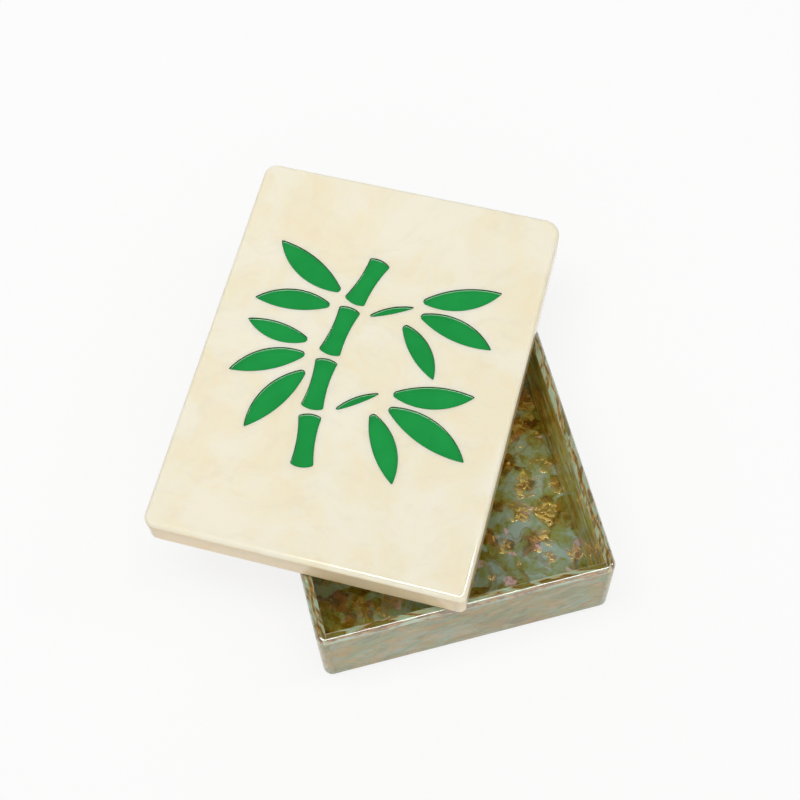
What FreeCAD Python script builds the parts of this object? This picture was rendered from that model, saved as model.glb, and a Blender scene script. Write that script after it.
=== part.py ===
import FreeCAD, Part
import Sketcher
import math
import os

# Trinket box: an open tray of 3.2 mm acrylic sheet and a loose slip-over lid of the same
# sheet, lying turned across the tray's walls. The lid's top panel holds a green inlay of a
# bamboo cane with leaves, let into pockets.
# Row frame: origin at the middle of the tray's underside, +Z up, the tray's front is -Y.

V = FreeCAD.Vector
doc = FreeCAD.newDocument("TrinketBox")

# Driving dimensions in millimetres and degrees.
driving = {
    "sheet_thickness": 3.2,
    "base_width": 94.0,
    "base_length": 127.0,
    "base_height": 35.0,
    "base_corner_radius": 3.1,
    "base_top_arris": 1.5,
    "base_bottom_arris": 2.2,
    "lid_clearance": 0.6,
    "lid_depth": 11.4,
    "lid_corner_front_right": 2.2,
    "lid_corner_back_right": 5.6,
    "lid_corner_back_left": 4.0,
    "lid_corner_front_left": 3.8,
    "lid_arris": 1.7,
    "lid_lower_arris": 0.9,
    "lid_x": -13.13,
    "lid_y": 18.22,
    "lid_turn": -29.27,
    "pocket_depth": 1.6,
    "inlay_sunk": 0.7,
    "overshoot": 2.0,
    "cane_length": 16.4,
    "cane_width": 7.4,
    "cane_side_radius": 45.0,
    "cane_end_radius": 7.5,
    "cane_corner_radius": 0.9,
    "leaf_back": 0.78,
    "leaf_belly": 1.2,
    "leaf_root_radius": 1.3,
    "twig_back": 1.2,
    "twig_belly": 3.0,
    "twig_root_radius": 0.5,
    "tip_radius": 0.35,
}

# Inlay layout on the lid: x and y of each stroke's root, or of a cane segment's middle, from
# the lid's centre, and its heading from +X.
canes = [
    (-9.5, -28.6, 97.0),
    (-10.8, -8.9, 89.5),
    (-9.6, 10.8, 82.0),
    (-5.7, 30.2, 74.5),
]

# Leaves and twigs add their length, and the side that bulges more.
leaves = [
    (11.5, -6.8, 11.0, 27.0, "right"),
    (11.5, -11.5, -24.0, 31.0, "left"),
    (7.2, -14.0, -60.0, 26.0, "left"),
    (12.5, 27.2, 20.0, 27.0, "right"),
    (13.0, 22.5, -15.0, 27.0, "left"),
    (9.0, 18.5, -50.0, 23.0, "left"),
    (-17.5, 5.2, 172.0, 22.5, "left"),
    (-17.0, 0.6, 206.0, 26.0, "right"),
    (-15.8, -4.6, 240.0, 28.0, "right"),
    (-12.3, 24.4, 150.0, 29.0, "left"),
    (-14.0, 18.9, 186.0, 26.0, "right"),
]
twigs = [
    (-4.3, -17.0, 36.0, 16.5, "left"),
    (-2.7, 17.6, 26.0, 16.5, "left"),
]


def place_cells(kind, layout):
    """Sheet entries for the place, heading and length of each stroke of one kind."""
    cells = {}
    for number, row in enumerate(layout, start=1):
        for word, value in zip(("x", "y", "heading", "length"), row):
            cells[f"{kind}_{number}_{word}"] = value
    return cells


driving.update(place_cells("cane", canes))
driving.update(place_cells("leaf", leaves))
driving.update(place_cells("twig", twigs))

sheet = doc.addObject("Spreadsheet::Sheet", "Sizes")
for line, (name, value) in enumerate(driving.items(), start=1):
    sheet.set(f"A{line}", name)
    sheet.set(f"B{line}", str(value))
    sheet.setAlias(f"B{line}", name)
doc.recompute()


def size(name):
    """The sheet's value for a name, for the first position of sketch geometry."""
    return sheet.get(name)


# Expressions built from the sheet.
wall = "Sizes.sheet_thickness"
inner_width = "(Sizes.base_width - 2 * Sizes.sheet_thickness)"
inner_length = "(Sizes.base_length - 2 * Sizes.sheet_thickness)"
lid_width = "(Sizes.base_width + 2 * Sizes.lid_clearance + 2 * Sizes.sheet_thickness)"
lid_length = "(Sizes.base_length + 2 * Sizes.lid_clearance + 2 * Sizes.sheet_thickness)"
rim_depth = "(Sizes.lid_depth - Sizes.sheet_thickness)"


def bind(thing, bindings):
    """Binds properties of one object to expressions of the sheet's cells."""
    for name, expression in bindings.items():
        thing.setExpression(name, expression)


def origin_plane(body, role):
    """One of a body's own origin planes."""
    return next(item for item in body.Origin.OriginFeatures if item.Role == role)


def new_sketch(body, name):
    """A sketch on the body's own XY plane."""
    sketch = body.newObject("Sketcher::SketchObject", name)
    sketch.AttachmentSupport = (origin_plane(body, "XY_Plane"), [""])
    sketch.MapMode = "FlatFace"
    return sketch


def new_pad(body, sketch, length):
    """A pad of a sketch along +Z."""
    pad = body.newObject("PartDesign::Pad", body.Name + "Pad")
    pad.Profile = sketch
    bind(pad, {"Length": length})
    sketch.Visibility = False
    doc.recompute()
    return pad


def round_edges(body, name, chosen, radius):
    """Rounds the chosen edges of the body's last feature."""
    base = body.Tip
    edges = [f"Edge{n}" for n, edge in enumerate(base.Shape.Edges, start=1) if chosen(edge)]
    fillet = body.newObject("PartDesign::Fillet", name)
    fillet.Base = (base, edges)
    bind(fillet, {"Radius": radius})
    doc.recompute()
    return fillet


def is_upright(edge):
    """True for a straight edge along Z."""
    first, last = edge.Vertexes[0].Point, edge.Vertexes[-1].Point
    return abs(first.x - last.x) + abs(first.y - last.y) < 1e-6 and abs(first.z - last.z) > 1e-6


def at_height(level):
    """A test for edges that lie in one level plane."""
    return lambda edge: all(abs(vertex.Z - level) < 1e-6 for vertex in edge.Vertexes)


def rounded_rectangle(sketch, width, length, corners):
    """Draws a centred rectangle with round corners. The sizes are expressions, and the corners'
    radii run anticlockwise from the front right one."""
    # A first rectangle of about the right size, which the constraints then move.
    half_w, half_l, r = 40.0, 50.0, 3.0
    places = [(half_w, -half_l), (half_w, half_l), (-half_w, half_l), (-half_w, -half_l)]
    turns = [(-1, 1), (-1, -1), (1, -1), (1, 1)]
    centres = [V(x + i * r, y + j * r, 0) for (x, y), (i, j) in zip(places, turns)]
    arcs = []
    for quarter, centre in enumerate(centres):
        start = (quarter - 1) * math.pi / 2
        circle = Part.Circle(centre, V(0, 0, 1), r)
        arcs.append(Part.ArcOfCircle(circle, start, start + math.pi / 2))
    ends = [(arcs[n - 1].EndPoint, arcs[n].StartPoint) for n in range(4)]
    line_ids = [sketch.addGeometry(Part.LineSegment(*pair), False) for pair in ends]
    arc_ids = [sketch.addGeometry(arc, False) for arc in arcs]
    rules = []
    for n in range(4):
        rules.append(Sketcher.Constraint("Tangent", line_ids[n], 2, arc_ids[n], 1))
        rules.append(Sketcher.Constraint("Tangent", arc_ids[n], 2, line_ids[(n + 1) % 4], 1))
    front, right, back, left = line_ids
    rules += [Sketcher.Constraint("Horizontal", line) for line in (front, back)]
    rules += [Sketcher.Constraint("Vertical", line) for line in (right, left)]
    sketch.addConstraint(rules)
    named = {
        "right": (Sketcher.Constraint("DistanceX", -1, 1, right, 1, half_w), f"{width} / 2"),
        "left": (Sketcher.Constraint("DistanceX", left, 1, -1, 1, half_w), f"{width} / 2"),
        "back": (Sketcher.Constraint("DistanceY", -1, 1, back, 1, half_l), f"{length} / 2"),
        "front": (Sketcher.Constraint("DistanceY", front, 1, -1, 1, half_l), f"{length} / 2"),
    }
    for number, (arc, radius) in enumerate(zip(arc_ids, corners), start=1):
        named[f"corner_{number}"] = (Sketcher.Constraint("Radius", arc, r), radius)
    add_named(sketch, named)


def add_named(sketch, named):
    """Adds dimensional constraints, each named and bound to its expression."""
    for name, (constraint, expression) in named.items():
        index = sketch.addConstraint(constraint)
        sketch.renameConstraint(index, name)
        sketch.setExpression(f"Constraints.{name}", expression)
    doc.recompute()


def raw_box(name, lengths, corner):
    """A block with its three lengths and its low corner given as expressions."""
    block = doc.addObject("Part::Box", name)
    bind(block, dict(zip(("Length", "Width", "Height"), lengths)))
    bind(block, dict(zip((f"Placement.Base.{axis}" for axis in "xyz"), corner)))
    return block


def trimmed(label, lengths, corner, envelope):
    """A sheet cut from a raw block, with the assembly's outer rounding."""
    block = raw_box(label + "_block", lengths, corner)
    piece = doc.addObject("Part::Common", label)
    piece.Base = block
    piece.Tool = envelope
    piece.Label = label
    return piece


# Outer form of the tray: upright corners, and round arrises above and below.
base_form = doc.addObject("PartDesign::Body", "BaseForm")
base_outline = new_sketch(base_form, "BaseOutline")
base_corners = ["Sizes.base_corner_radius"] * 4
rounded_rectangle(base_outline, "Sizes.base_width", "Sizes.base_length", base_corners)
new_pad(base_form, base_outline, "Sizes.base_height")
round_edges(base_form, "BaseTopArris", at_height(size("base_height")), "Sizes.base_top_arris")
round_edges(base_form, "BaseBottomArris", at_height(0.0), "Sizes.base_bottom_arris")

# Tray: two full-length side walls, two end walls butted between them, and the floor inside.
half_inner_width = f"({inner_width} / 2)"
half_inner_length = f"({inner_length} / 2)"
half_length = "(Sizes.base_length / 2)"
side_wall = (wall, "Sizes.base_length", "Sizes.base_height")
end_wall = (inner_width, wall, "Sizes.base_height")
base_pieces = [
    trimmed("base_wall_left", side_wall, ("-Sizes.base_width / 2", f"-{half_length}", "0"), base_form),
    trimmed("base_wall_right", side_wall, (half_inner_width, f"-{half_length}", "0"), base_form),
    trimmed("base_wall_front", end_wall, (f"-{half_inner_width}", f"-{half_length}", "0"), base_form),
    trimmed("base_wall_back", end_wall, (f"-{half_inner_width}", half_inner_length, "0"), base_form),
    trimmed(
        "base_floor",
        (inner_width, inner_length, wall),
        (f"-{half_inner_width}", f"-{half_inner_length}", "0"),
        base_form,
    ),
]

# Outer form of the lid, in the lid's own frame: its centre on Z, its lower edge at z = 0. Its
# corners are sanded by hand, so each has a radius of its own.
lid_form = doc.addObject("PartDesign::Body", "LidForm")
lid_outline = new_sketch(lid_form, "LidOutline")
lid_corners = [
    "Sizes.lid_corner_front_right",
    "Sizes.lid_corner_back_right",
    "Sizes.lid_corner_back_left",
    "Sizes.lid_corner_front_left",
]
rounded_rectangle(lid_outline, lid_width, lid_length, lid_corners)
new_pad(lid_form, lid_outline, "Sizes.lid_depth")
round_edges(lid_form, "LidTopArris", at_height(size("lid_depth")), "Sizes.lid_arris")
round_edges(lid_form, "LidLowerArris", at_height(0.0), "Sizes.lid_lower_arris")

# Where the lid lies: on the walls' tops, turned and shifted.
lid_seat = doc.addObject("App::Placement", "LidSeat")
bind(
    lid_seat,
    {
        "Placement.Base.x": "Sizes.lid_x",
        "Placement.Base.y": "Sizes.lid_y",
        "Placement.Base.z": "Sizes.base_height",
        "Placement.Rotation.Angle": "Sizes.lid_turn",
    },
)

# Rim strips below the top panel: two of full length, two butted between them.
lid_half_width = f"({lid_width} / 2)"
lid_half_length = f"({lid_length} / 2)"
cavity_half_width = f"({lid_half_width} - {wall})"
cavity_half_length = f"({lid_half_length} - {wall})"
side_strip = (wall, lid_length, rim_depth)
end_strip = (f"2 * {cavity_half_width}", wall, rim_depth)
lid_pieces = [
    trimmed("lid_rim_left", side_strip, (f"-{lid_half_width}", f"-{lid_half_length}", "0"), lid_form),
    trimmed("lid_rim_right", side_strip, (cavity_half_width, f"-{lid_half_length}", "0"), lid_form),
    trimmed("lid_rim_front", end_strip, (f"-{cavity_half_width}", f"-{lid_half_length}", "0"), lid_form),
    trimmed("lid_rim_back", end_strip, (f"-{cavity_half_width}", cavity_half_length, "0"), lid_form),
]
panel_blank = trimmed(
    "PanelBlank",
    (lid_width, lid_length, wall),
    (f"-{lid_half_width}", f"-{lid_half_length}", rim_depth),
    lid_form,
)

# Inlay strokes. Each form is taller than its pocket is deep, and stands on the pocket's floor.
form_height = "Sizes.pocket_depth + Sizes.overshoot"


def set_on_lid(body, key):
    """Puts a stroke's form at its place and heading on the floor of the pockets."""
    bind(
        body,
        {
            "Placement.Base.x": f"Sizes.{key}_x",
            "Placement.Base.y": f"Sizes.{key}_y",
            "Placement.Base.z": "Sizes.lid_depth - Sizes.pocket_depth",
            "Placement.Rotation.Angle": f"Sizes.{key}_heading",
        },
    )


def arc_between(first, last, radius):
    """The shorter arc that runs anticlockwise from first to last."""
    chord = last - first
    middle = (first + last) / 2
    inward = V(-chord.y, chord.x, 0).normalize()
    centre = middle + inward * math.sqrt(radius**2 - (chord.Length / 2) ** 2)
    angles = [math.atan2(point.y - centre.y, point.x - centre.x) for point in (first, last)]
    if angles[1] < angles[0]:
        angles[1] += 2 * math.pi
    return Part.ArcOfCircle(Part.Circle(centre, V(0, 0, 1), radius), *angles)


def cane_form(key):
    """A waisted cane segment along local X: hollow sides, bulging ends, rounded corners."""
    body = doc.addObject("PartDesign::Body", key + "_form")
    sketch = new_sketch(body, key + "_outline")
    a, b = size("cane_length") / 2, size("cane_width") / 2
    upper_left, upper_right = V(-a, b, 0), V(a, b, 0)
    lower_left, lower_right = V(-a, -b, 0), V(a, -b, 0)
    side_radius, end_radius = size("cane_side_radius"), size("cane_end_radius")
    upper = sketch.addGeometry(arc_between(upper_left, upper_right, side_radius), False)
    lower = sketch.addGeometry(arc_between(lower_right, lower_left, side_radius), False)
    right = sketch.addGeometry(arc_between(lower_right, upper_right, end_radius), False)
    left = sketch.addGeometry(arc_between(upper_left, lower_left, end_radius), False)
    sketch.addConstraint(
        [
            Sketcher.Constraint("Coincident", upper, 1, left, 1),
            Sketcher.Constraint("Coincident", upper, 2, right, 2),
            Sketcher.Constraint("Coincident", lower, 1, right, 1),
            Sketcher.Constraint("Coincident", lower, 2, left, 2),
            Sketcher.Constraint("Symmetric", upper, 1, lower, 1, -1, 1),
            Sketcher.Constraint("Symmetric", upper, 2, lower, 2, -1, 1),
            Sketcher.Constraint("Horizontal", upper, 1, upper, 2),
            Sketcher.Constraint("Equal", upper, lower),
            Sketcher.Constraint("Equal", left, right),
        ]
    )
    named = {
        "length": (Sketcher.Constraint("DistanceX", upper, 1, upper, 2, 2 * a), "Sizes.cane_length"),
        "width": (Sketcher.Constraint("DistanceY", lower, 2, upper, 1, 2 * b), "Sizes.cane_width"),
        "side": (Sketcher.Constraint("Radius", upper, side_radius), "Sizes.cane_side_radius"),
        "end": (Sketcher.Constraint("Radius", left, end_radius), "Sizes.cane_end_radius"),
    }
    add_named(sketch, named)
    new_pad(body, sketch, form_height)
    round_edges(body, key + "_corners", is_upright, "Sizes.cane_corner_radius")
    set_on_lid(body, key)
    return body


def blade_form(key, kind, fuller_side):
    """A leaf or twig along local X, from its root at the origin: two arcs, both ends rounded."""
    body = doc.addObject("PartDesign::Body", key + "_form")
    sketch = new_sketch(body, key + "_outline")
    length = size(key + "_length")
    ratios = {"left": kind + "_back", "right": kind + "_belly"}
    if fuller_side == "right":
        ratios = {"left": kind + "_belly", "right": kind + "_back"}
    root, tip = V(0, 0, 0), V(length, 0, 0)
    left_radius, right_radius = length * size(ratios["left"]), length * size(ratios["right"])
    left = sketch.addGeometry(arc_between(tip, root, left_radius), False)
    right = sketch.addGeometry(arc_between(root, tip, right_radius), False)
    sketch.addConstraint(
        [
            Sketcher.Constraint("Coincident", left, 2, -1, 1),
            Sketcher.Constraint("Coincident", right, 1, -1, 1),
            Sketcher.Constraint("Coincident", left, 1, right, 2),
            Sketcher.Constraint("PointOnObject", right, 2, -1),
        ]
    )
    along = f"Sizes.{key}_length"
    named = {
        "length": (Sketcher.Constraint("DistanceX", -1, 1, right, 2, length), along),
        "left": (Sketcher.Constraint("Radius", left, left_radius), f"{along} * Sizes.{ratios['left']}"),
        "right": (Sketcher.Constraint("Radius", right, right_radius), f"{along} * Sizes.{ratios['right']}"),
    }
    add_named(sketch, named)
    new_pad(body, sketch, form_height)

    def at_root(edge):
        return is_upright(edge) and abs(edge.Vertexes[0].X) < length / 4

    def at_tip(edge):
        return is_upright(edge) and edge.Vertexes[0].X > length * 0.9

    round_edges(body, key + "_root", at_root, f"Sizes.{kind}_root_radius")
    round_edges(body, key + "_tip", at_tip, "Sizes.tip_radius")
    set_on_lid(body, key)
    return body


forms = {}
for number in range(1, len(canes) + 1):
    forms[f"cane_{number}"] = cane_form(f"cane_{number}")
for number, leaf in enumerate(leaves, start=1):
    forms[f"leaf_{number}"] = blade_form(f"leaf_{number}", "leaf", leaf[-1])
for number, twig in enumerate(twigs, start=1):
    forms[f"twig_{number}"] = blade_form(f"twig_{number}", "twig", twig[-1])

# The layer that the inlay fills: from the pockets' floor to just under the panel's face.
inlay_layer = raw_box(
    "InlayLayer",
    (lid_width, lid_length, "Sizes.pocket_depth - Sizes.inlay_sunk"),
    (f"-{lid_half_width}", f"-{lid_half_length}", "Sizes.lid_depth - Sizes.pocket_depth"),
)
for key, form in forms.items():
    piece = doc.addObject("Part::Common", key)
    piece.Base = form
    piece.Tool = inlay_layer
    piece.Label = key
    lid_pieces.append(piece)

# The top panel with a pocket for each stroke.
pockets = doc.addObject("Part::MultiFuse", "Pockets")
pockets.Shapes = list(forms.values())
top_panel = doc.addObject("Part::Cut", "lid_top_panel")
top_panel.Base = panel_blank
top_panel.Tool = pockets
top_panel.Label = "lid_top_panel"
lid_pieces.append(top_panel)

for piece in lid_pieces:
    bind(piece, {"Placement": "LidSeat.Placement"})
doc.recompute()

# Checks: no failed object, every sub-part valid and a single solid, every pocket really cut.
for item in doc.Objects:
    if "Invalid" in item.State or "Error" in item.State:
        raise RuntimeError(f"{item.Label} failed: {item.State}")
subparts = base_pieces + lid_pieces
for piece in subparts:
    if piece.Shape.isNull() or not piece.Shape.isValid() or len(piece.Shape.Solids) != 1:
        raise RuntimeError(f"{piece.Label} has no single valid solid")
inlay_area = sum(piece.Shape.Volume for piece in lid_pieces if piece.Label in forms) / (
    size("pocket_depth") - size("inlay_sunk")
)
removed = panel_blank.Shape.Volume - top_panel.Shape.Volume
if abs(removed - inlay_area * size("pocket_depth")) > 1.0:
    raise RuntimeError(f"the pockets remove {removed:.1f} mm3, not the strokes' volume")

os.makedirs("parts", exist_ok=True)
for piece in subparts:
    piece.Shape.exportStep(f"parts/{piece.Label}.step")
print(f"{len(subparts)} sub-parts, inlay area {inlay_area:.0f} mm2")
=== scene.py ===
import bpy
import bmesh
import math
from mathutils import Matrix, Vector


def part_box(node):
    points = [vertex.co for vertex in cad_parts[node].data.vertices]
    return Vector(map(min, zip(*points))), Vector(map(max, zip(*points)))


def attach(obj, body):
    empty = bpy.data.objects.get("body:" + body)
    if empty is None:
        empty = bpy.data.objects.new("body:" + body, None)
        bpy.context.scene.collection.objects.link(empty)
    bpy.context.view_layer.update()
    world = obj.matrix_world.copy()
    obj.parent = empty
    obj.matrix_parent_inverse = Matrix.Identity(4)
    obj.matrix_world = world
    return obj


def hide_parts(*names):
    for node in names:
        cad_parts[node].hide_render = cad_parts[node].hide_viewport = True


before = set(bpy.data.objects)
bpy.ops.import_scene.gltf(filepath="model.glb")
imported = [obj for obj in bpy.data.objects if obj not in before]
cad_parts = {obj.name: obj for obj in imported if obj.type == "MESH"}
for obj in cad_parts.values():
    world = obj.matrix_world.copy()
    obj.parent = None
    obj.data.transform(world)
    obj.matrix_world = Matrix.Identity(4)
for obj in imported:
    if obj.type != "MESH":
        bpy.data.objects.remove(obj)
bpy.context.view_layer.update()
mm = 0.001
tiny = 1e-6             # metres: points nearer than this share one place
acrylicIor = 1.49
print("frame loaded:", len(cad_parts), "nodes")


# Materials: small helpers for node trees

def addNode(tree, kind, **settings):
    node = tree.nodes.new(kind)
    for name, value in settings.items():
        setattr(node, name, value)
    return node


def feed(tree, node, **inputs):
    # i0, i1 and so on name a socket by its number; a plain value sets a socket, a socket is linked to it
    for name, value in inputs.items():
        byNumber = name[0] == "i" and name[1:].isdigit()
        socket = node.inputs[int(name[1:]) if byNumber else name]
        if isinstance(value, bpy.types.NodeSocket):
            tree.links.new(value, socket)
        else:
            socket.default_value = value
    return node


def calc(tree, operation, a, b=0.5, c=0.5, clamp=False):
    node = addNode(tree, "ShaderNodeMath", operation=operation, use_clamp=clamp)
    return feed(tree, node, i0=a, i1=b, i2=c).outputs[0]


def vectorCalc(tree, operation, a, b):
    node = addNode(tree, "ShaderNodeVectorMath", operation=operation)
    return feed(tree, node, i0=a, i1=b).outputs[0]


def axes(tree, vector):
    return feed(tree, addNode(tree, "ShaderNodeSeparateXYZ"), Vector=vector).outputs


def joined(tree, x, y, z=0.0):
    return feed(tree, addNode(tree, "ShaderNodeCombineXYZ"), X=x, Y=y, Z=z).outputs[0]


def fade(tree, value, low, high):
    # 0 at low, 1 at high, smooth between
    node = addNode(tree, "ShaderNodeMapRange", interpolation_type="SMOOTHSTEP")
    feed(tree, node, **{"Value": value, "From Min": low, "From Max": high})
    return node.outputs["Result"]


def ramp(tree, factor, stops, colours, smooth=True):
    # each stop is a place and the name of a colour
    node = addNode(tree, "ShaderNodeValToRGB")
    node.color_ramp.interpolation = "EASE" if smooth else "LINEAR"
    points = node.color_ramp.elements
    while len(points) < len(stops):
        points.new(0.5)
    for point, (place, name) in zip(points, stops):
        point.position = place
        point.color = (*colours[name], 1)
    feed(tree, node, Fac=factor)
    return node.outputs["Color"]


def mixColour(tree, factor, a, b, mode="MIX"):
    node = addNode(tree, "ShaderNodeMix", data_type="RGBA", blend_type=mode)
    a, b = ((*item, 1) if isinstance(item, tuple) else item for item in (a, b))
    feed(tree, node, i0=factor, i6=a, i7=b)
    return node.outputs[2]


def noise(tree, vector, scale, detail=2.0, rough=0.5, distortion=0.0):
    node = addNode(tree, "ShaderNodeTexNoise")
    feed(tree, node, Vector=vector, Scale=scale, Detail=detail, Roughness=rough, Distortion=distortion)
    return node.outputs


def cells(tree, vector, scale, feature="F1"):
    node = addNode(tree, "ShaderNodeTexVoronoi", feature=feature)
    return feed(tree, node, Vector=vector, Scale=scale).outputs


def warped(tree, vector, scale, amount):
    # pushes a pattern about by a soft noise, amount in the vector's own units
    push = vectorCalc(tree, "SUBTRACT", noise(tree, vector, scale, 2.0)["Color"], (0.5, 0.5, 0.5))
    scaled = addNode(tree, "ShaderNodeVectorMath", operation="SCALE")
    feed(tree, scaled, i0=push, Scale=amount)
    return vectorCalc(tree, "ADD", vector, scaled.outputs[0])


def newGroup(name, inputs, outputs):
    tree = bpy.data.node_groups.new(name, "ShaderNodeTree")
    for label, kind, start in inputs:
        socket = tree.interface.new_socket(label, in_out="INPUT", socket_type="NodeSocket" + kind)
        if start is not None:
            socket.default_value = start
    for label, kind in outputs:
        tree.interface.new_socket(label, in_out="OUTPUT", socket_type="NodeSocket" + kind)
    return tree, addNode(tree, "NodeGroupInput").outputs, addNode(tree, "NodeGroupOutput").inputs


# Layered jade acrylic: film flakes, rust veins, gold leaf and pink pearl chips

flakeColours = {
    "umber": (0.150, 0.070, 0.004),
    "olive": (0.270, 0.230, 0.024),
    "moss": (0.330, 0.365, 0.100),
    "sage": (0.360, 0.450, 0.270),
    "aqua": (0.440, 0.570, 0.500),
    "rust": (0.430, 0.165, 0.006),
    "goldPaintedShade": (0.400, 0.190, 0.012),
    "gold": (1.000, 0.700, 0.200),
    "pink": (0.900, 0.610, 0.630),
}
flakeForm = {
    # warps are a scale per millimetre and a push in millimetres
    # a mask's pair is where it starts and where it is full
    "bends": [(0.10, 10.0), (0.30, 1.3)],
    # steps aside, so that one pattern doesn't follow another
    "aside": {"small": (37.0, 11.0, 23.0), "blotch": (5.0, 60.0, 9.0), "line": (80.0, 5.0, 31.0)},
    "smaller": 2.2,                     # the flakes on top, against the big ones
    "onTop": (0.50, 0.60),
    "cloud": (0.085, 3.0, 0.55),        # a noise's scale, detail and roughness
    "crumpleWarp": (0.30, 4.0),
    "crumple": (0.42, 4.0, 0.62),
    "tones": [(0.10, "umber"), (0.28, "olive"), (0.44, "moss"), (0.57, "sage"), (0.74, "aqua")],
    "weights": {"flake": 0.38, "cloud": 1.30, "crumple": 0.70, "curl": -0.16},
    "darker": -0.63,
}
rustForm = {
    "spot": 0.26,                       # how much a place of its own adds
    "blotchNoise": (0.14, 3.0),
    "blotch": (0.55, 0.68),
    "rim": (0.0, 0.10),
    "rimCloud": (0.56, 0.42),
    "lineNoise": (0.07, 2.0),
    "line": (0.016, 0.004),
    "crumple": (0.40, 0.60),
    "shares": {"blotch": 0.88, "rim": 0.6, "all": 0.85},
}
chipForm = {
    "dice": (0.92, 0.95),
    "rim": (0.03, 0.14),
    "crumple": (0.36, 0.52),
}
leafForm = {
    "patchNoise": (0.13, 3.0, 0.55),
    "amount": 0.24,
    "ragged": 0.65,
    "patch": (0.67, 0.74),
    "foldWarp": (0.50, 2.6),
    "fold": (0.55, 1.25, 1.0),
    "wrinkle": (0.75, 3.0, 0.6, 0.8),
    "glint": (0.50, 0.58),
    "dull": 0.46,                       # how much the leaf covers, and what its ridges add
    "bright": 0.50,
}


def flakeLayer(tree, vector, size):
    # how far from a flake's middle and from its rim, and three random numbers for each flake
    cell = cells(tree, vector, size)
    rim = cells(tree, vector, size, feature="DISTANCE_TO_EDGE")
    dice = feed(tree, addNode(tree, "ShaderNodeSeparateColor"), Color=cell["Color"]).outputs
    return cell["Distance"], rim["Distance"], dice


def makeFlakeGroup():
    tree, given, out = newGroup(
        "jadeFlakes",
        [("Vector", "Vector", None), ("Flake Size", "Float", 8.5), ("Brown", "Float", 0.0),
         ("Veins", "Float", 0.5), ("Gold Amount", "Float", 0.5), ("Pink Amount", "Float", 0.5),
         ("Pink Here", "Float", 0.0), ("Rust Here", "Float", 0.0)],
        [("Color", "Color"), ("Gold", "Float"), ("Height", "Float")],
    )
    c, form = flakeColours, flakeForm
    bent = given["Vector"]
    for scale, push in form["bends"]:
        bent = warped(tree, bent, scale, push)
    aside = {name: vectorCalc(tree, "ADD", bent, step) for name, step in form["aside"].items()}
    size = calc(tree, "DIVIDE", 1.0, given["Flake Size"])
    middle, rim, dice = flakeLayer(tree, bent, size)
    smallSize = calc(tree, "MULTIPLY", size, form["smaller"])
    smallMiddle, smallRim, smallDice = flakeLayer(tree, aside["small"], smallSize)
    onTop = fade(tree, smallDice["Blue"], *form["onTop"])
    cloud = noise(tree, bent, *form["cloud"])["Fac"]
    crumple = noise(tree, warped(tree, given["Vector"], *form["crumpleWarp"]), *form["crumple"])["Fac"]

    # each flake has its own tone, darker towards its rim
    parts = {
        "flake": mixColour(tree, onTop, dice["Red"], smallDice["Red"]),
        "cloud": cloud,
        "crumple": crumple,
        "curl": mixColour(tree, onTop, middle, smallMiddle),
    }
    tone = calc(tree, "SUBTRACT", form["darker"], given["Brown"])
    for name, part in parts.items():
        tone = calc(tree, "MULTIPLY_ADD", part, form["weights"][name], tone)
    colour = ramp(tree, tone, form["tones"], c)

    # rust: blotches, some of the flakes' rims, and thin lines that wander along the sheet
    form, shares = rustForm, rustForm["shares"]
    blotch = noise(tree, aside["blotch"], *form["blotchNoise"])["Fac"]
    blotch = calc(tree, "MULTIPLY_ADD", given["Rust Here"], form["spot"], blotch)
    blotch = fade(tree, blotch, *form["blotch"])
    nearRim = calc(tree, "SUBTRACT", 1.0, fade(tree, rim, *form["rim"]))
    nearRim = calc(tree, "MULTIPLY", nearRim, fade(tree, cloud, *form["rimCloud"]))
    wander = noise(tree, aside["line"], *form["lineNoise"])["Fac"]
    line = fade(tree, calc(tree, "ABSOLUTE", calc(tree, "SUBTRACT", wander, 0.5)), *form["line"])
    rust = calc(tree, "MAXIMUM", calc(tree, "MULTIPLY", blotch, shares["blotch"]),
                calc(tree, "MULTIPLY", nearRim, shares["rim"]))
    rust = calc(tree, "MAXIMUM", rust, calc(tree, "MULTIPLY", line, given["Veins"]))
    rustTone = mixColour(tree, fade(tree, crumple, *form["crumple"]), c["umber"], c["rust"])
    colour = mixColour(tree, calc(tree, "MULTIPLY", rust, shares["all"]), colour, rustTone)

    # pink chips: the small flakes with the highest dice, and those in places of their own
    form = chipForm
    chip = calc(tree, "MULTIPLY", fade(tree, smallDice["Green"], *form["dice"]),
                fade(tree, smallRim, *form["rim"]))
    chip = calc(tree, "MULTIPLY", chip, given["Pink Amount"], clamp=True)
    chip = calc(tree, "MAXIMUM", chip, given["Pink Here"])
    chip = calc(tree, "MULTIPLY", chip, fade(tree, crumple, *form["crumple"]))
    colour = mixColour(tree, chip, colour, c["pink"])

    # gold leaf: crumpled, with painted glints on its ridges and painted shade between them
    form = leafForm
    patch = noise(tree, bent, *form["patchNoise"])["Fac"]
    patch = calc(tree, "MULTIPLY_ADD", given["Gold Amount"], form["amount"], patch)
    patch = calc(tree, "MULTIPLY_ADD", calc(tree, "SUBTRACT", crumple, 0.5), form["ragged"], patch)
    patch = fade(tree, patch, *form["patch"])
    folded = vectorCalc(tree, "MULTIPLY", warped(tree, given["Vector"], *form["foldWarp"]), form["fold"])
    wrinkle = noise(tree, folded, *form["wrinkle"])["Fac"]
    glint = fade(tree, wrinkle, *form["glint"])
    # painted glint: the leaf's colour runs from a painted shaded brown to bright gold on the ridges
    leaf = mixColour(tree, glint, c["goldPaintedShade"], c["gold"])
    cover = calc(tree, "MULTIPLY_ADD", glint, form["bright"], form["dull"])
    colour = mixColour(tree, calc(tree, "MULTIPLY", patch, cover), colour, leaf)
    gold = calc(tree, "MULTIPLY", patch, glint)
    for label, value in (("Color", colour), ("Gold", gold), ("Height", wrinkle)):
        tree.links.new(value, out[label])
    return tree


# The cut through a sheet, on the walls' tops: drawn-out films and one rust ribbon that wanders along

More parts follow.
